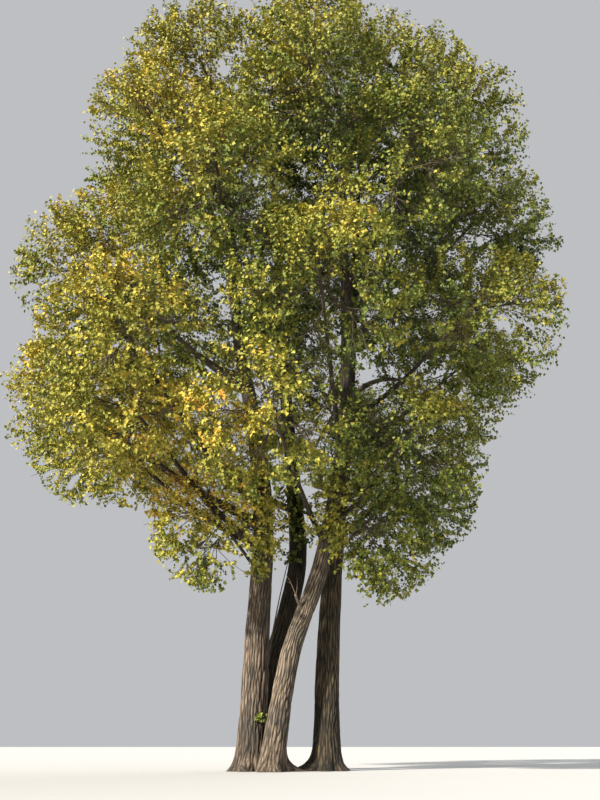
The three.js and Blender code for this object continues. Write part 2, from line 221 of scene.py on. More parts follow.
# Leaves stand in clumps, with fewer of them between: the share of leaves kept, its swing, the clumps'
# size, and the share that is left in the barest places.
CLUMP_LEAVES = 0.88
CLUMP_SWING = 1.25
CLUMP_SIZE = 1.25
BAREST_LEAVES = 0.12
# Hollows in the crown's face, where few leaves grow and the limbs show: middle, half-sizes,
# and how steeply they slope up towards the back.
HOLLOWS = [
    ((2.9, -7.4, 15.2), (1.5, 5.0, 1.8), 0),
    ((5.5, -6.5, 14.1), (1.2, 4, 1), 0),
    ((5.4, -5.5, 9.8), (0.6, 3.6, 1), 0),
    ((7.4, -7.0, 19.0), (1.5, 4, 0.6), 0),
    ((-0.6, -8.0, 16.8), (0.7, 4, 0.7), 0),
    ((-0.1, -6.2, 23.2), (1.0, 5.5, 2.7), 0),
    ((5.4, -6.6, 20.4), (1.9, 4, 0.7), 0),
    ((3.1, -6.5, 27.2), (1.2, 3.5, 0.7), 0),
    ((-0.85, -7.5, 16.05), (1.1, 4.5, 0.5), 0.41),
    ((-1.83, -9.5, 15.84), (0.8, 3.5, 0.5), 0.41),
    ((-2.33, -11, 15.78), (0.7, 3, 0.5), 0.41),
    ((5.6, -6.5, 15.85), (1.2, 4.5, 0.55), 0.41),
]
HOLLOW_LEAVES = 0.12
HOLLOW_SWING = 0.5 # how uneven a hollow's edge is
HOLLOW_LUMPS = 0.8 # and the size of the lumps along it

# Leaf tints from deep green to orange, each with the record's slot that it belongs to
TINTS = [
    ("deep", (0.034, 0.052, 0.01), "leaf_deep_green"),
    ("green", (0.066, 0.094, 0.014), "leaf_deep_green"),
    ("fern", (0.106, 0.139, 0.02), "leaf_green"),
    ("moss", (0.158, 0.187, 0.026), "leaf_green"),
    ("olive", (0.228, 0.231, 0.033), "leaf_olive"),
    ("khaki", (0.293, 0.278, 0.039), "leaf_olive"),
    ("lime", (0.368, 0.328, 0.044), "leaf_olive"),
    ("yellow", (0.46, 0.375, 0.049), "leaf_gold"),
    ("gold", (0.55, 0.38, 0.046), "leaf_gold"),
    ("orange", (0.48, 0.25, 0.034), "leaf_gold"),
]
LAST_TINT = len(TINTS) - 0.01
LEAF_ROUGHNESS = 0.6
LEAF_SHINE = 0.3

# A spray's tint is a value from 0, the deepest green, to 1, orange. It starts from this one.
TINT_MIDDLE = 0.46
TINT_HIGHEST = 0.999
# It drifts over the crown: by how much, the size of the patches, and where in the noise they start.
TINT_DRIFTS = [(0.23, 5.0, 0), (0.2, 1.6, 30)]
# Some places are more golden or greener: by how much, the x and z of the middle, and the half-widths.
TINT_PLACES = [
    (0.3, (-1.8, 13.2), (6, 3.8)),
    (0.1, (4.5, 23.5), (4, 3)),
    (-0.16, (8, 28), (5, 5)),
    (-0.08, (6.5, 10), (3.5, 5)),
]
LEFT_GOLD = 0.007 # for each metre to the left of LEFT_GOLD_FROM
LEFT_GOLD_FROM = 1
HOLLOW_SHADE = 0.25 # painted shade: the leaves round a hollow are of darker tints
HOLLOW_SHADE_REACH = 1.9 # within this many times the hollow's size
TOP_LIGHT = 0.13 # painted light and shade: sprays on top of a mass are of lighter tints, those under it of darker ones
CORE_SHADE = 0.3 # and, as painted shade, those deep in the crown are darker still
CORE_EDGE = 0.72 # of the crown's ellipsoid
CORE_FADE = 0.3
SPRAY_SCATTER = 0.25
LEAF_SCATTER = 0.9 # in tints, from leaf to leaf

# Bark

BARK_SIDES = 144
BARK_RINGS = 150
RIDGES = 5.8 # of bark, on each metre round a stem
RIDGE_SLANT = 0.5 # ridges crossed on each metre up a stem
RIDGE_SETS = 2 # one set of furrows has so many more of them, the other so many fewer
BARK_DEPTH = 0.09 # the relief's height, over a stem's radius
BARK_SURFACE = 0.7 # the relief that lies on the solid's own surface
STEM_LUMPS = 0.08 # the height of swellings, over a stem's radius
STEM_LUMPS_PER_METRE = 0.9
NOISE_SHIFT = 10 # keeps one stem's bark from repeating another's
# Bark is darker near the ground and up in the crown, as painted shade: heights, and the share of the relief
# left there.
BARK_SHADE_HEIGHTS = (0, 3.5, 8.5, 14)
BARK_SHADE_SHARES = (0.78, 1, 1, 0.5)
BOUGH_SIDES = 24
BOUGH_RINGS = 40
BOUGH_RIDGES = 6 # round a bough
BOUGH_SLANT = 1.2
BOUGH_DEPTH = 0.12 # over a bough's radius
BOUGH_LUMPS = 0.12
BOUGH_LUMPS_PER_METRE = 1.3
LIMB_RELIEF = 0.8
# Furrows wander more slowly up a stem than round it: how far, how fast, and where in the noise.
FURROW_STRETCH = (1, 1, 0.3)
FURROW_WANDERS = [(1.7, 1.1, 50), (1.1, 2.7, 80), (0.5, 6, 20)]
FURROW_CURVE = 0.75
FURROW_HEIGHT = 1.2
PLATE_GRAIN = (8, 8, 2.2)
PLATE_SWING = 0.8
PLATE_SHARE = 0.25

# Colours of furrow, flank and ridge top: the bark's own darker furrows, deepened by painted shade, and
# painted highlight on the ridge tops. The back and right stems' are darker, partly their own bark and partly
# painted shade.
STEM_TONES = {
    "trunk": ((0.018, 0.013, 0.009), (0.082, 0.062, 0.046), (0.235, 0.185, 0.139)),
    "stem_leaning": ((0.021, 0.016, 0.011), (0.105, 0.081, 0.06), (0.285, 0.227, 0.171)),
    "stem_back": ((0.005, 0.004, 0.002), (0.02, 0.014, 0.008), (0.058, 0.043, 0.025)),
    "stem_right": ((0.007, 0.005, 0.003), (0.035, 0.026, 0.014), (0.118, 0.089, 0.048)),
}
# Boughs and bare limbs: darker than the stems, as painted shade of the crown
BOUGH_TONES = ((0.009, 0.007, 0.005), (0.036, 0.027, 0.018), (0.09, 0.068, 0.047))
DEAD_TONES = ((0.03, 0.022, 0.014), (0.13, 0.1, 0.07), (0.26, 0.21, 0.15))
TONE_PLACES = (0.2, 0.6, 1.0)
TWIG_TONE = (0.06, 0.045, 0.028)
STEM_GRAIN = 8
BOUGH_GRAIN = 12
DEAD_GRAIN = 14
GRAIN_STRETCH = (1, 1, 0.22)
GRAIN_DETAIL = 7
GRAIN_ROUGHNESS = 0.65
GRAIN_SWING = 1.5
WEATHER_SCALE = 0.7
WEATHER_DETAIL = 3
WEATHER_TONES = ((0.35, (0.55, 0.58, 0.58)), (0.62, (1.1, 1.06, 1)))
BARK_BUMP = 0.8
BUMP_DISTANCE = 0.04
BARK_ROUGHNESS = 0.9
TWIG_ROUGHNESS = 0.85

# Single limbs: start, bend and end, and the radii of both ends

# Low on the stems: a slender shoot between two of them, and a broken stub with its dead twigs
LOW_SHOOTS = [
    ((0.35, 0.62, 0.1), (0.45, 0.3, 4.6), (1.62, 0.95, 9.4), 0.06, 0.02),
    ((2.35, -1.25, 6.75), (2.1, -1.6, 7.0), (1.98, -1.88, 7.4), 0.085, 0.055),
    ((2.0, -1.86, 7.36), (1.8, -2.0, 7.9), (1.5, -2.05, 8.35), 0.02, 0.006),
    ((2.0, -1.86, 7.36), (2.1, -2.1, 7.7), (2.05, -2.3, 8.1), 0.018, 0.005),
    ((1.75, -1.98, 7.85), (1.6, -2.2, 7.95), (1.3, -2.25, 7.9), 0.01, 0.003),
]
# In the crown's front
BARE_LIMBS = [
    ((-0.5, -0.35, 18.5), (-1.95, -5.9, 16.4), (-3.45, -10.9, 17.0), 0.2, 0.03),
    ((4.65, 1.35, 17.6), (5.61, -3, 17.95), (7.4, -6.4, 15.6), 0.19, 0.03),
]

# Leafy tufts on the bark: stem, azimuth, height, length and number of twigs, and place among the tints
STEM_TUFTS = [
    ("trunk", 300, 2.2, 0.3, 5, 2.6),
    ("stem_back", 240, 9.6, 0.7, 6, 2.6),
    ("stem_back", 285, 10.5, 0.9, 8, 2.6),
    ("stem_back", 250, 11.3, 1.0, 9, 2.6),
    ("stem_back", 290, 12.1, 1.1, 9, 3),
    ("stem_back", 245, 12.9, 1.1, 9, 3),
    ("trunk", 255, 12.8, 1.1, 8, 5.5),
    ("trunk", 285, 13.5, 1.3, 11, 6),
    ("trunk", 260, 14.2, 1.4, 12, 6),
    ("trunk", 280, 15.0, 1.3, 11, 5.5),
    ("stem_right", 345, 15.2, 1.5, 14, 2),
    ("stem_right", 15, 16.1, 1.7, 16, 2),
    ("stem_right", 330, 17.0, 1.7, 16, 2),
    ("stem_right", 50, 17.6, 1.6, 14, 2),
]
TUFT_RISE = 0.3
TUFT_SCATTER = (0.6, 1.2) # shares of a tuft's length, dealt out to its twigs
TUFT_TWIG_ROOT = 0.012
TUFT_KEY = 50 # the dice's key for a tuft's twigs
TUFT_LEAF_KEY = 99 # and the first one for its leaves

# Stage, light and camera

FLOOR_HALF = 600
FLOOR_LEVEL = -0.01
FLOOR_COLOUR = (0.46, 0.46, 0.455)
FLOOR_ROUGHNESS = 0.9
SKY_COLOUR = (0.88, 0.9, 0.93)
SKY_STRENGTH = 0.58
# Suns: strength, angle, colour and rotation
KEY_SUN = (9.1, 3, (1, 0.93, 0.82), (60, 0, -47))
FILL_SUN = (1.3, 40, (0.95, 0.97, 1), (52, 0, 140))
EYE = (2.19, -44, 1.06)
EYE_TILT = 20.3
LENS = 42
SENSOR = 36
FARTHEST = 2000

LOW, HIGH = np.array(CAD_BOX)
LOWEST = LOW - BOX_SLACK * (HIGH - LOW)
HIGHEST = HIGH + BOX_SLACK * (HIGH - LOW)

random = np.random.default_rng(SEED)


# Small helpers

TINY = 1e-9 # keeps a division from failing
# Directions that no twig follows exactly, to find the sides of one
LEAF_AID = (0.1, 0.2, 1)
SPIKE_AID = (0.3, 0.5, 0.8)


def mix(a, b, t):
    return a + (b - a) * t


def unit(v):
    return v / np.maximum(np.linalg.norm(v, axis=-1, keepdims=True), TINY)


def dice(n, k):
    """The seeded dice: a number from 0 to 1 that depends only on its two arguments."""
    s = np.sin((n + SEED) * 12.9898 + np.asarray(k) * 78.233) * 43758.5453
    return s - np.floor(s)


GRADIENTS = unit(random.normal(size=(256, 3)))
SHUFFLE = random.permutation(256)


def noise(points):
    """Smooth gradient noise, about -0.7 to 0.7, with features one unit wide."""
    cell = np.floor(points).astype(int)
    inside = points - cell
    ease = inside**3 * (inside * (inside * 6 - 15) + 10)
    total = np.zeros(len(points))
    for corner in itertools.product((0, 1), repeat=3):
        x, y, z = ((cell + corner) & 255).T
        key = SHUFFLE[(SHUFFLE[(SHUFFLE[x] + y) & 255] + z) & 255]
        weight = np.prod(np.where(corner, ease, 1 - ease), axis=1)
        total += weight * np.sum((inside - corner) * GRADIENTS[key], axis=1)
    return total


# Curves: each is a function from an array of places, 0 to 1, to points


def smooth_course(course):
    """A centripetal Catmull-Rom curve through the course."""
    points = np.array(course, float)
    padded = np.vstack([2 * points[0] - points[1], points, 2 * points[-1] - points[-2]])

    def at(t):
        place = np.clip(np.atleast_1d(t), 0, 1) * (len(points) - 1)
        i = np.minimum(place.astype(int), len(points) - 2)
        w = (place - i)[:, None]
        p0, p1, p2, p3 = (padded[i + n] for n in range(4))
        spans = ((p0, p1), (p1, p2), (p2, p3))
        d0, d1, d2 = (np.sqrt(np.linalg.norm(b - a, axis=1))[:, None] for a, b in spans)
        out = ((p1 - p0) / d0 - (p2 - p0) / (d0 + d1) + (p2 - p1) / d1) * d1
        back = ((p2 - p1) / d1 - (p3 - p1) / (d1 + d2) + (p3 - p2) / d2) * d1
        return p1 + out * w + (3 * (p2 - p1) - 2 * out - back) * w**2 + (2 * (p1 - p2) + out + back) * w**3

    return at


def bezier(start, bend, end):
    """A quadratic Bezier curve, or a batch of them: points come out as [limb, place, xyz]."""
    start, bend, end = (np.atleast_2d(p)[:, None, :] for p in (start, bend, end))

    def at(t):
        t = np.atleast_1d(t)[None, :, None]
        return start * (1 - t) ** 2 + bend * 2 * t * (1 - t) + end * t**2

    return at


def bezier_heading(start, bend, end, t):
    """The direction of the same curves at a place."""
    start, bend, end = (np.atleast_2d(p) for p in (start, bend, end))
    return unit((bend - start) * (1 - t) + (end - bend) * t)


# Stems and boughs, as in the solids


def stem_radius(stem, height):
    top = stem["course"][-1][2]
    taper = np.maximum(0, 1 - height / top) ** STEM_TAPER
    return mix(STEM_TIP, stem["girth"] / 2, taper)


def flare(stem, height, azimuth):
    """How far the foot swells out, most of all along its surface roots."""
    fade = np.exp(-height / FLARE_HEIGHT)
    ridge = np.zeros(np.broadcast(height, azimuth).shape)
    for at, reach in stem["buttresses"]:
        off = ((azimuth - at + 180) % 360 - 180) / BUTTRESS_WIDTH
        ridge = np.maximum(ridge, np.where(np.abs(off) < 1, reach * np.cos(off * math.pi / 2), 0))
    return fade * FLARE_SWELL * stem_radius(stem, 0) + ridge * fade**BUTTRESS_FALL


def stem_at(stem, height):
    """The stem's axis at one height."""
    low, high = 0.0, 1.0
    for _ in range(HALVINGS):
        half = (low + high) / 2
        if stem["at"](half)[0, 2] < height:
            low = half
        else:
            high = half
    return stem["at"](low)[0]


def nearest_stem(middle):
    """The name of the stem that a mass belongs to."""

    def apart(name):
        return math.dist(stem_at(STEMS[name], middle[2] * CHOICE_HEIGHT)[:2], middle[:2])

    return min(STEMS, key=apart)


# The crown: every mass with its middle and its size


def new_mass(name, label, middle, spread, tall):
    return {"name": name, "label": label, "middle": np.array(middle, float), "spread": spread, "tall": tall}


def ring_masses(name, z, drop, x, wide, deep, count, first, step, spread, tall):
    masses = []
    for i in range(count):
        turn = math.radians(first + i * step)
        middle = (x + wide * math.cos(turn), deep * math.sin(turn), z - drop * math.cos(turn))
        masses.append(new_mass(name, f"{name}_{i + 1}", middle, spread, tall))
    return masses


def crown_masses():
    """All the masses, each with its number and with the walls half-way to the others."""
    masses = [new_mass(name, name, *lobe) for name, lobe in LOBES.items()]
    for name, ring in RINGS.items():
        masses += ring_masses(name, *ring)
    for index, mass in enumerate(masses):
        mass["index"] = index
        others = [other for other in masses if other is not mass]
        toward = np.array([other["middle"] - mass["middle"] for other in others])
        share = np.array([mass["spread"] / (mass["spread"] + other["spread"]) for other in others])
        mass["away"] = np.linalg.norm(toward, axis=1) * share
        mass["toward"] = unit(toward)
    return masses


def reach(mass, ways, margin=SPACE_MARGIN, swell=1):
    """How far the mass's own space reaches from its middle, in each of the ways."""
    d = unit(ways)
    shell = swell / np.linalg.norm(d / (mass["spread"], mass["spread"], mass["tall"]), axis=1) - margin
    facing = d @ mass["toward"].T
    walls = np.where(facing > TINY, (mass["away"] - margin) / np.maximum(facing, TINY), np.inf)
    return np.minimum(shell, walls.min(axis=1))


def holds(mass, points):
    out = points - mass["middle"]
    return np.linalg.norm(out, axis=1) < reach(mass, out)


def within(mass, points):
    """Whether fine growth may reach points: in the mass's space, and near the solids' box."""
    out = points - mass["middle"]
    swell = 1 + EDGE_SWELL * noise(points / EDGE_LUMPS)
    held = np.linalg.norm(out, axis=1) < reach(mass, out, FINE_MARGIN, swell)
    return held & (points > LOWEST).all(axis=1) & (points < HIGHEST).all(axis=1)


def room(mass, start, ways, longest):
    """How far each point can move its way, up to the longest, before it leaves the mass's space."""
    low, high = np.zeros(len(start)), np.array(longest, float)
    whole = within(mass, start + ways * high[:, None])
    for _ in range(ROOM_HALVINGS):
        half = (low + high) / 2
        inside = within(mass, start + ways * half[:, None])
        low, high = np.where(inside, half, low), np.where(inside, high, half)
    return np.where(whole, longest, low)


# What carries a mass


def bough_curve(mass, stem):
    """A bough's curve, from its stem to where it enters the mass."""
    middle = mass["middle"]
    out = math.dist(stem_at(stem, middle[2] * REACH_HEIGHT)[:2], middle[:2])
    height = middle[2] - BOUGH_CLIMB * out
    start = stem_at(stem, min(max(height, LOWEST_BOUGH), stem["course"][-1][2] * HIGHEST_BOUGH))
    inward = unit(start - middle)
    end = middle + inward * BOUGH_ENTRY * reach(mass, inward[None])[0]
    bend = mix(start, end, 0.5) - (0, 0, BOUGH_SAG * math.dist(start, end))
    return start, bend, end


def bough_length(curve):
    points = bezier(*curve)(np.linspace(0, 1, LENGTH_SAMPLES))[0]
    return np.linalg.norm(np.diff(points, axis=0), axis=1).sum()


def carry(mass, start, heading, root):
    """The mass's stem goes on from what carries it, through the middle of the mass and up."""
    beyond = unit(unit(mass["middle"] - start) + (0, 0, MIDRIB_CLIMB))
    end = mass["middle"] + beyond * TWIG_REACH * reach(mass, beyond[None])[0]
    bend = start + heading * math.dist(start, end) * MIDRIB_BEND
    mass["stem"] = (start, bend, end)
    mass["root"] = root


def carry_all(masses):
    """Gives every mass its stem, and returns the boughs by name."""
    boughs = {}
    free_tips = set(STEMS)
    for mass in masses:
        middle = mass["middle"]
        name = nearest_stem(middle)
        stem = STEMS[name]
        if mass["name"] in ON_STEM_TIPS and name in free_tips:
            free_tips.remove(name)
            up = np.array([0, 0, 1.0])
            carry(mass, stem["at"](1)[0] + GAP * up, up, MIDRIB_ROOT * STEM_TIP)
        elif mass["name"] in ON_STEM_SIDES:
            start = stem_at(stem, middle[2] - mass["tall"])
            carry(mass, start, unit(middle - start), STEM_TIP)
        else:
            curve = bough_curve(mass, stem)
            heading = bezier_heading(*curve, 1)[0]
            boughs["bough_" + mass["label"]] = (curve, BOUGH_SWELL * bough_length(curve) + BOUGH_ROOT)
            carry(mass, curve[2] + heading * GAP, heading, MIDRIB_ROOT * BOUGH_TIP)
    return boughs


# Twigs: batches of curves, each with a start, a bend and an end


def even_directions(count, phase):
    """Golden spiral: directions spread evenly over a sphere, for each of the phases."""
    k = np.arange(count)
    level = 1 - 2 * (k + 0.5) / count
    flat = np.sqrt(1 - level**2)
    turn = k * GOLDEN_ANGLE + np.atleast_1d(phase)[:, None]
    return np.stack([flat * np.cos(turn), flat * np.sin(turn), level + 0 * turn], axis=-1)


def main_twigs(mass):
    """The same twigs as in the solids."""
    toward = even_directions(TWIGS, 2 * math.pi * dice(mass["index"], 0))[0]
    places = mix(*TWIG_STARTS, np.arange(TWIGS) / (TWIGS - 1))
    start = bezier(*mass["stem"])(places)[0]
    end = mass["middle"] + toward * (TWIG_REACH * reach(mass, toward))[:, None]
    kept = holds(mass, start)
    start, end = start[kept], end[kept]
    return start, mix(start, end, 0.5), end


def finer_twigs(mass, parents, level, kind):
    """Twigs from each parent to points spread evenly about its end, within the mass's space."""
    number = len(parents[0])
    count = kind["count"]
    key = level * LEVEL_KEYS + np.arange(number)
    toward = even_directions(count, 2 * math.pi * dice(mass["index"], key))
    outward = unit(parents[2] - mass["middle"])[:, None, :]
    toward = unit(toward + outward * kind["lean"]).reshape(-1, 3)
    places = mix(*kind["starts"], np.arange(count) / (count - 1))
    start = bezier(*parents)(places).reshape(-1, 3)
    middle = np.repeat(parents[2], count, axis=0)
    dealt = dice(mass["index"], REACH_KEYS * np.arange(number * count) + level)
    far = room(mass, middle, toward, kind["reach"] * mix(*FINE_SCATTER, dealt))
    kept = (far > SHORTEST_TWIG * kind["reach"]) & holds(mass, start)
    end = middle + toward * far[:, None]
    heading = np.repeat(bezier_heading(*parents, 1), count, axis=0)
    length = np.linalg.norm(end - start, axis=1)[:, None]
    sweep = heading * FINE_SWEEP + unit(end - start) * (1 - FINE_SWEEP)
    bend = start + sweep * length * FINE_BEND
    return start[kept], bend[kept], end[kept]


def tuft_twigs(stem, azimuth, height, length, count):
    """Twigs of a leafy tuft: they spread outwards from a point on the bark."""
    turn = math.radians(azimuth)
    outward = np.array([math.cos(turn), math.sin(turn), 0])
    foot = stem_at(stem, height) + outward * stem_radius(stem, height)
    toward = unit(even_directions(count, height)[0] + outward + (0, 0, TUFT_RISE))
    start = np.repeat(foot[None], count, axis=0)
    end = start + toward * length * mix(*TUFT_SCATTER, dice(TUFT_KEY, np.arange(count)))[:, None]
    return start, mix(start, end, 0.5), end


def stacked(*batches):
    return tuple(np.concatenate(part) for part in zip(*batches))


# Meshes


def limb_mesh(curves, root, tip, sides, steps):
    """Tapering tubes along a batch of curves, closed at both ends: points and faces."""
    t = np.linspace(0, 1, steps + 1)
    start, bend, end = (np.atleast_2d(p) for p in curves)
    chord = end - start
    # The nudge gives an upright limb a side too.
    level = unit(np.stack([-chord[:, 1], chord[:, 0], 0 * chord[:, 0]], axis=-1) + (1e-6, 0, 0))
    middle = bezier(start, bend, end)(t)
    along = np.stack([bezier_heading(start, bend, end, place) for place in t], axis=1)
    side = level[:, None, :] - along * np.sum(level[:, None, :] * along, axis=-1, keepdims=True)
    side = unit(side)
    over = np.cross(along, side)
    turn = np.arange(sides) * 2 * math.pi / sides
    radius = mix(root, tip, t)[None, :, None, None]
    round_it = side[:, :, None, :] * np.cos(turn)[:, None] + over[:, :, None, :] * np.sin(turn)[:, None]
    points = middle[:, :, None, :] + round_it * radius
    first = (np.arange(len(start)) * (steps + 1) * sides)[:, None, None]
    ring = first + (np.arange(steps) * sides)[None, :, None]
    i = np.arange(sides)
    j = (i + 1) % sides
    quads = np.stack([ring + i, ring + j, ring + sides + j, ring + sides + i], axis=-1)
    caps = np.concatenate([first[:, 0] + i[::-1], first[:, 0] + steps * sides + i])
    return points.reshape(-1, 3), [quads.reshape(-1, 4), caps]


def spike_mesh(curves, root):
    """The finest twigs: straight three-sided spikes."""
    start, end = curves[0], curves[2]
    along = unit(end - start)
    side = unit(np.cross(along, SPIKE_AID))
    over = np.cross(along, side)
    turn = np.arange(3) * 2 * math.pi / 3
    ring = side[:, None] * np.cos(turn)[:, None] + over[:, None] * np.sin(turn)[:, None]
    points = np.concatenate([start[:, None] + ring * root, end[:, None]], axis=1)
    faces = np.array([(0, 1, 3), (1, 2, 3), (2, 0, 3), (2, 1, 0)])
    return points.reshape(-1, 3), [copies(faces, len(start), 4)]


def grid_faces(rings, sides):
    """Faces of a closed tube whose points run ring by ring."""
    i = np.arange(sides)
    ring = (np.arange(rings - 1) * sides)[:, None]
    j = (i + 1) % sides
    quads = np.stack([ring + i, ring + j, ring + sides + j, ring + sides + i], -1).reshape(-1, 4)
    caps = np.stack([i[::-1], (rings - 1) * sides + i])
    return [quads, caps]


def copies(faces, number, corners):
    """The faces of many like shapes, each with so many corners."""
    return (faces[None] + corners * np.arange(number)[:, None, None]).reshape(-1, 3)


def joined(meshes):
    """Several meshes of points and faces as one."""
    points, faces, base = [], [], 0
    for vertices, groups in meshes:
        points.append(vertices)
        faces += [group + base for group in groups]
        base += len(vertices)
    return np.concatenate(points), faces


def add_piece(name, points, faces, material, nodes, smooth=False, relief=None):
    """A mesh piece that rides on the plant and stands for some of its solids."""
    mesh = bpy.data.meshes.new(name)
    corners = np.concatenate([group.ravel() for group in faces]).astype(np.int32)
    sizes = np.concatenate([np.full(len(group), group.shape[1]) for group in faces])
    mesh.vertices.add(len(points))
    mesh.vertices.foreach_set("co", points.astype(np.float32).ravel())
    mesh.loops.add(len(corners))
    mesh.loops.foreach_set("vertex_index", corners)
    mesh.polygons.add(len(sizes))
    mesh.polygons.foreach_set("loop_start", (np.cumsum(sizes) - sizes).astype(np.int32))
    mesh.polygons.foreach_set("use_smooth", np.full(len(sizes), smooth))
    mesh.update(calc_edges=True)
    mesh.validate()
    if relief is not None:
        attribute = mesh.attributes.new("relief", "FLOAT", "POINT")
        attribute.data.foreach_set("value", relief.astype(np.float32))
    mesh.materials.append(material)
    piece = bpy.data.objects.new(name, mesh)
    bpy.context.scene.collection.objects.link(piece)
    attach(piece, "root")
    if nodes:
        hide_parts(*nodes)


# Bark


def bark_relief(points, turn, height, count, slant):
    """Two sets of wandering furrows that cross at a sharp angle leave long interlaced ridges between
    them: 0 in a furrow and 1 on a ridge."""
    stretched = points * FURROW_STRETCH
    relief = np.ones(len(points))
    for way in (1, -1):
        wander = sum(swing * noise(stretched * scale + shift * way) for swing, scale, shift in FURROW_WANDERS)
        across = turn / (2 * math.pi) * (count + RIDGE_SETS * way) + way * slant * height + wander
        furrow = np.abs(np.sin(math.pi * across)) ** FURROW_CURVE * FURROW_HEIGHT
        relief = np.minimum(relief, furrow)
    rough = 0.5 + PLATE_SWING * noise(points * PLATE_GRAIN)
    return mix(np.clip(relief, 0, 1), np.clip(rough, 0, 1), PLATE_SHARE)


def stem_bark(name, stem, material):
    """A stem with its flare and surface roots, ringed more closely at its foot."""
    t = np.linspace(0, 1, BARK_RINGS) ** FOOT_STEPS
    middle = stem["at"](t)[:, None, :]
    turn = np.arange(BARK_SIDES) * 2 * math.pi / BARK_SIDES
    height = middle[..., 2]
    plain = stem_radius(stem, height)
    radius = plain + flare(stem, height, np.degrees(turn)[None, :])
    around = np.stack([np.cos(turn), np.sin(turn), 0 * turn], axis=-1)[None]
    surface = (middle + around * radius[..., None]).reshape(-1, 3)
    count = round(math.pi * stem["girth"] * RIDGES)
    turns = np.tile(turn, BARK_RINGS)
    heights = np.repeat(height[:, 0], BARK_SIDES)
    relief = bark_relief(surface + stem["girth"] * NOISE_SHIFT, turns, heights, count, RIDGE_SLANT)
    relief = relief.reshape(radius.shape)
    swell = noise(surface * STEM_LUMPS_PER_METRE).reshape(radius.shape)
    radius = radius + BARK_DEPTH * plain * (relief - BARK_SURFACE) + STEM_LUMPS * plain * swell
    points = (middle + around * radius[..., None]).reshape(-1, 3)
    faces = grid_faces(BARK_RINGS, BARK_SIDES)
    # Painted shade: the relief, and with it the bark's tone, is lowered near the ground and up in the crown
    relief = (relief * np.interp(height, BARK_SHADE_HEIGHTS, BARK_SHADE_SHARES)).ravel()
    add_piece(name + "_bark", points, faces, material, [name], smooth=True, relief=relief)


def bough_bark(name, curve, root, material):
    points, _ = limb_mesh(curve, root, BOUGH_TIP, BOUGH_SIDES, BOUGH_RINGS - 1)
    middle = np.repeat(bezier(*curve)(np.linspace(0, 1, BOUGH_RINGS))[0], BOUGH_SIDES, axis=0)
    along = np.linalg.norm(middle - middle[0], axis=1)
    local = points - middle
    turns = np.tile(np.arange(BOUGH_SIDES) * 2 * math.pi / BOUGH_SIDES, BOUGH_RINGS)
    relief = bark_relief(points, turns, along, BOUGH_RIDGES, BOUGH_SLANT)
    lumps = BOUGH_LUMPS * noise(points * BOUGH_LUMPS_PER_METRE)
    points = middle + local * (1 + BOUGH_DEPTH * (relief - BARK_SURFACE) + lumps)[:, None]
    faces = grid_faces(BOUGH_RINGS, BOUGH_SIDES)
    add_piece(name + "_bark", points, faces, material, [name], smooth=True, relief=relief)


def add_limbs(name, limbs, material):
    """Single limbs that no solid stands for, in one piece."""
    points, faces = joined(limb_mesh(limb[:3], *limb[3:], *LIMB_MESH) for limb in limbs)
    relief = np.full(len(points), LIMB_RELIEF)
    add_piece(name, points, faces, material, [], smooth=True, relief=relief)


# Leaves


def leaf_points(middle, index, twigs):
    """Leaves spiral up every finest twig: their points as [leaf, corner, xyz], and their twigs."""
    number = len(twigs[0])
    places = mix(*LEAF_STARTS, np.arange(LEAVES) / (LEAVES - 1))
    base = bezier(*twigs)(places).reshape(-1, 3)
    owner = np.repeat(np.arange(number), LEAVES)
    heading = unit(twigs[2] - twigs[0])[owner]
    side = unit(np.cross(heading, LEAF_AID))
    over = np.cross(heading, side)
    turn = (np.tile(np.arange(LEAVES), number) * GOLDEN_ANGLE + LEAF_PHASE * dice(index, owner))[:, None]
    aside = side * np.cos(turn) + over * np.sin(turn)
    wild = random.normal(size=(2, len(base), 3))
    along = unit(aside * LEAF_ASIDE + heading * LEAF_ALONG + (0, 0, -LEAF_HANG) + wild[0] * LEAF_WILD)
    normal = unit(unit(base - middle) * FACE_OUT + (0, 0, FACE_UP) + wild[1] * FACE_WILD)
    across = unit(np.cross(along, normal))
    normal = np.cross(across, along)
    length = (LEAF_LENGTH * random.uniform(*LEAF_SIZES, len(base)))[:, None, None]
    shape = LEAF_OUTLINE[None] * length
    points = base[:, None] + across[:, None] * shape[..., :1] + along[:, None] * shape[..., 1:2]
    return points + normal[:, None] * shape[..., 2:], owner


def crown_depth(points):
    """0 in the middle of the crown, 1 at its outside."""
    return np.linalg.norm((points - CROWN_MIDDLE) / CROWN_SIZE, axis=1)


def from_hollow(points):
    """How far points are from the nearest of the crown's hollows: 1 at its edge, which is uneven."""
    apart = []
    for middle, size, slope in HOLLOWS:
        out = points - middle
        out[:, 2] -= slope * out[:, 1]
        apart.append(np.linalg.norm(out / size, axis=1))
    return np.min(apart, axis=0) - HOLLOW_SWING * noise(points / HOLLOW_LUMPS)


def leaf_share(points):
    """The share of leaves that grow at each point."""
    share = np.clip(CLUMP_LEAVES + CLUMP_SWING * noise(points / CLUMP_SIZE), BAREST_LEAVES, 1)
    share = share * np.where(crown_depth(points) < HEART, HEART_LEAVES, 1)
    return np.where(from_hollow(points) < 1, HOLLOW_LEAVES * share, share)


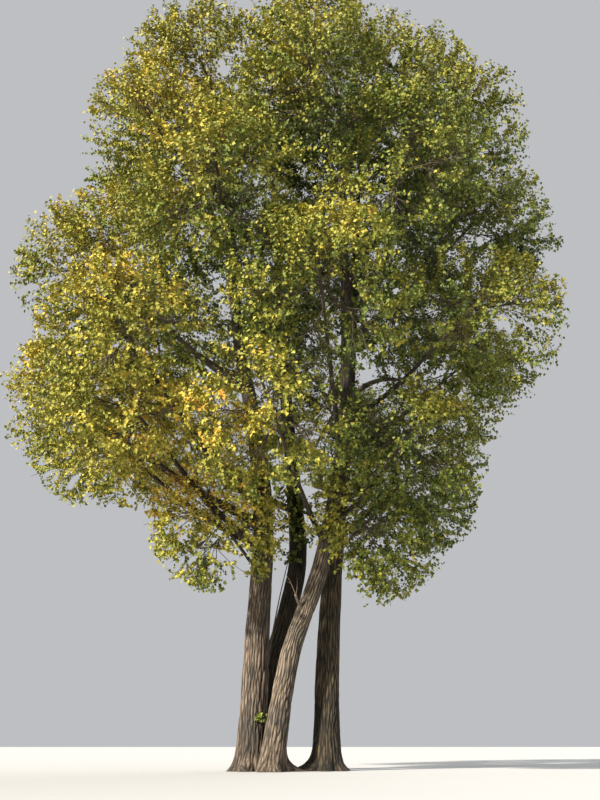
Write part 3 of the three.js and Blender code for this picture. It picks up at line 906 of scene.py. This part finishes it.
def tint_of(mass, points):
    """Which tint each spray takes: gold low down and on the left, green on the right, darker tints as painted
    shade round hollows, under masses and deep in the crown, and lighter ones as painted light on top of
    masses.
    """
    x, y, z = points.T
    value = TINT_MIDDLE + sum(swing * noise(points / size + shift) for swing, size, shift in TINT_DRIFTS)
    for amount, (middle_x, middle_z), (wide, tall) in TINT_PLACES:
        value += amount * np.exp(-(((x - middle_x) / wide) ** 2) - ((z - middle_z) / tall) ** 2)
    value -= LEFT_GOLD * (x - LEFT_GOLD_FROM)
    # Painted shade: darker tints round the hollows
    value -= HOLLOW_SHADE * np.clip(HOLLOW_SHADE_REACH - from_hollow(points), 0, 1)
    # Painted light and shade: lighter tints on top of each mass, darker ones under it
    value += TOP_LIGHT * np.clip((z - mass["middle"][2]) / mass["tall"], -1, 1)
    # Painted shade: darker tints deep in the crown
    value -= CORE_SHADE * np.clip((CORE_EDGE - crown_depth(points)) / CORE_FADE, 0, 1)
    value += SPRAY_SCATTER * (random.random(len(points)) - 0.5)
    return np.clip(value, 0, TINT_HIGHEST) * len(TINTS)


def whole_tints(values):
    return np.clip(values, 0, LAST_TINT).astype(int)


# Materials


def plain_material(name, colour, roughness):
    material = bpy.data.materials.new(name)
    material.use_nodes = True
    shader = material.node_tree.nodes["Principled BSDF"]
    shader.inputs["Base Color"].default_value = (*colour, 1)
    shader.inputs["Roughness"].default_value = roughness
    return material, shader


def leaf_material(name, colour):
    material, shader = plain_material(name, colour, LEAF_ROUGHNESS)
    shader.inputs["Specular IOR Level"].default_value = LEAF_SHINE
    return material


def add_noise(tree, vector, scale, detail, roughness=0.5):
    texture = tree.nodes.new("ShaderNodeTexNoise")
    texture.inputs["Scale"].default_value = scale
    texture.inputs["Detail"].default_value = detail
    texture.inputs["Roughness"].default_value = roughness
    tree.links.new(vector, texture.inputs["Vector"])
    return texture.outputs["Fac"]


def add_ramp(tree, value, stops):
    """Colours along a value: each stop is a place and a colour."""
    ramp = tree.nodes.new("ShaderNodeValToRGB")
    elements = ramp.color_ramp.elements
    first, *between, last = stops
    for element, (place, colour) in zip(elements, (first, last)):
        element.position = place
        element.color = (*colour, 1)
    for place, colour in between:
        elements.new(place).color = (*colour, 1)
    tree.links.new(value, ramp.inputs["Fac"])
    return ramp.outputs["Color"]


def bark_height(tree, place, grain_scale):
    """The piece's relief with a fine grain on it that runs up the limb."""
    relief = tree.nodes.new("ShaderNodeAttribute")
    relief.attribute_name = "relief"
    stretch = tree.nodes.new("ShaderNodeMapping")
    stretch.inputs["Scale"].default_value = GRAIN_STRETCH
    tree.links.new(place, stretch.inputs["Vector"])
    tone = tree.nodes.new("ShaderNodeMath")
    tone.operation = "MULTIPLY_ADD"
    tone.inputs[1].default_value = GRAIN_SWING
    tone.inputs[2].default_value = -GRAIN_SWING / 2
    grain = add_noise(tree, stretch.outputs["Vector"], grain_scale, GRAIN_DETAIL, GRAIN_ROUGHNESS)
    tree.links.new(grain, tone.inputs[0])
    height = tree.nodes.new("ShaderNodeMath")
    height.operation = "ADD"
    tree.links.new(relief.outputs["Fac"], height.inputs[0])
    tree.links.new(tone.outputs["Value"], height.inputs[1])
    return height.outputs["Value"]


def bark_material(name, tones, grain_scale):
    """Dark furrows and paler ridge tops, partly the bark's own and partly painted shade and highlight, and
    broad weathered patches over both.
    """
    material, shader = plain_material(name, tones[1], BARK_ROUGHNESS)
    tree = material.node_tree
    place = tree.nodes.new("ShaderNodeTexCoord").outputs["Object"]
    height = bark_height(tree, place, grain_scale)
    stained = tree.nodes.new("ShaderNodeMixRGB")
    stained.blend_type = "MULTIPLY"
    stained.inputs["Fac"].default_value = 1
    tree.links.new(add_ramp(tree, height, zip(TONE_PLACES, tones)), stained.inputs["Color1"])
    weather = add_ramp(tree, add_noise(tree, place, WEATHER_SCALE, WEATHER_DETAIL), WEATHER_TONES)
    tree.links.new(weather, stained.inputs["Color2"])
    tree.links.new(stained.outputs["Color"], shader.inputs["Base Color"])
    bump = tree.nodes.new("ShaderNodeBump")
    bump.inputs["Strength"].default_value = BARK_BUMP
    bump.inputs["Distance"].default_value = BUMP_DISTANCE
    tree.links.new(height, bump.inputs["Height"])
    tree.links.new(bump.outputs["Normal"], shader.inputs["Normal"])
    return material


# The plant

twig_meshes = {"coarse": [], "middle": [], "fine": []}
leaf_sets = []
leaf_tints = []


def grow_mass(mass):
    """Adds the twigs and leaves of one mass to the lists."""
    own = tuple(p[None] for p in mass["stem"])
    first = main_twigs(mass)
    second = finer_twigs(mass, stacked(first, own), 1, FINE_TWIGS[0])
    third = finer_twigs(mass, second, 2, FINE_TWIGS[1])
    twig_meshes["coarse"].append(limb_mesh(own, mass["root"], MIDRIB_TIP, *MIDRIB_MESH))
    twig_meshes["coarse"].append(limb_mesh(first, TWIG_ROOT, TWIG_TIP, *TWIG_MESH))
    twig_meshes["middle"].append(limb_mesh(second, FINE_TWIGS[0]["root"], FINE_TWIGS[0]["tip"], *FINE_MESH))
    twig_meshes["fine"].append(spike_mesh(third, FINE_TWIGS[1]["root"]))
    points, owner = leaf_points(mass["middle"], mass["index"], third)
    spray = tint_of(mass, third[2])
    tints = whole_tints(spray[owner] + random.normal(size=len(points)) * LEAF_SCATTER)
    inside = within(mass, points[:, LEAF_POINT])
    kept = inside & (random.random(len(points)) < leaf_share(points[:, 0]))
    leaf_sets.append(points[kept])
    leaf_tints.append(tints[kept])


def grow_tuft(key, stem, azimuth, height, length, count, tint):
    """Adds a leafy tuft on the bark to the lists."""
    twigs = tuft_twigs(STEMS[stem], azimuth, height, length, count)
    twig_meshes["fine"].append(spike_mesh(twigs, TUFT_TWIG_ROOT))
    points, _ = leaf_points(twigs[0][0], key, twigs)
    leaf_sets.append(points)
    leaf_tints.append(whole_tints(tint + random.normal(size=len(points))))


def add_twigs(nodes):
    material, _ = plain_material("twig_bark", TWIG_TONE, TWIG_ROUGHNESS)
    for kind, meshes in twig_meshes.items():
        points, faces = joined(meshes)
        smooth = kind == "coarse"
        add_piece("twigs_" + kind, points, faces, material, nodes, smooth=smooth)


def add_leaves(nodes):
    """One piece for each tint."""
    leaves, tints = np.concatenate(leaf_sets), np.concatenate(leaf_tints)
    for number, (name, colour, slot) in enumerate(TINTS):
        points = leaves[tints == number]
        faces = copies(LEAF_FACES, len(points), len(LEAF_OUTLINE))
        material = leaf_material("leaf_" + name, colour)
        add_piece("leaves_" + name, points.reshape(-1, 3), [faces], material, nodes)


for stem in STEMS.values():
    stem["at"] = smooth_course(stem["course"])

masses = crown_masses()
boughs = carry_all(masses)
bough_material = bark_material("bough_bark", BOUGH_TONES, BOUGH_GRAIN)
for name, stem in STEMS.items():
    stem_bark(name, stem, bark_material(name + "_bark", STEM_TONES[name], STEM_GRAIN))
for name, (curve, root) in boughs.items():
    bough_bark(name, curve, root, bough_material)
add_limbs("low_shoots", LOW_SHOOTS, bark_material("dead_bark", DEAD_TONES, DEAD_GRAIN))
add_limbs("bare_limbs", BARE_LIMBS, bough_material)

for mass in masses:
    grow_mass(mass)
for number, tuft in enumerate(STEM_TUFTS):
    grow_tuft(TUFT_LEAF_KEY + number, *tuft)
foliage_nodes = ["foliage_" + mass["label"] for mass in masses]
add_twigs(foliage_nodes)
add_leaves(foliage_nodes)


# Stage, light and camera


def add_stage():
    size, level = FLOOR_HALF, FLOOR_LEVEL
    corners = [(-size, -size, level), (size, -size, level), (size, size, level), (-size, size, level)]
    mesh = bpy.data.meshes.new("floor")
    mesh.from_pydata(corners, [], [(0, 1, 2, 3)])
    material, _ = plain_material("floor", FLOOR_COLOUR, FLOOR_ROUGHNESS)
    mesh.materials.append(material)
    floor = bpy.data.objects.new("floor", mesh)
    bpy.context.scene.collection.objects.link(floor)


def add_sun(name, energy, angle, colour, rotation):
    light = bpy.data.lights.new(name, "SUN")
    light.energy = energy
    light.angle = math.radians(angle)
    light.color = colour
    sun = bpy.data.objects.new(name, light)
    sun.rotation_euler = [math.radians(turn) for turn in rotation]
    bpy.context.scene.collection.objects.link(sun)


def add_light():
    """A warm key light from the left in front, and a weak wide one from behind on the right."""
    world = bpy.data.worlds.new("studio")
    world.use_nodes = True
    background = world.node_tree.nodes["Background"]
    background.inputs["Color"].default_value = (*SKY_COLOUR, 1)
    background.inputs["Strength"].default_value = SKY_STRENGTH
    bpy.context.scene.world = world
    add_sun("key", *KEY_SUN)
    add_sun("fill", *FILL_SUN)


def add_camera():
    camera = bpy.data.cameras.new("camera")
    camera.lens = LENS
    camera.sensor_width = SENSOR
    camera.clip_end = FARTHEST
    eye = bpy.data.objects.new("camera", camera)
    eye.location = EYE
    eye.rotation_euler = (math.radians(90 + EYE_TILT), 0, 0)
    bpy.context.scene.collection.objects.link(eye)
    bpy.context.scene.camera = eye


add_stage()
add_light()
add_camera()
bpy.context.scene.view_settings.view_transform = "Standard"
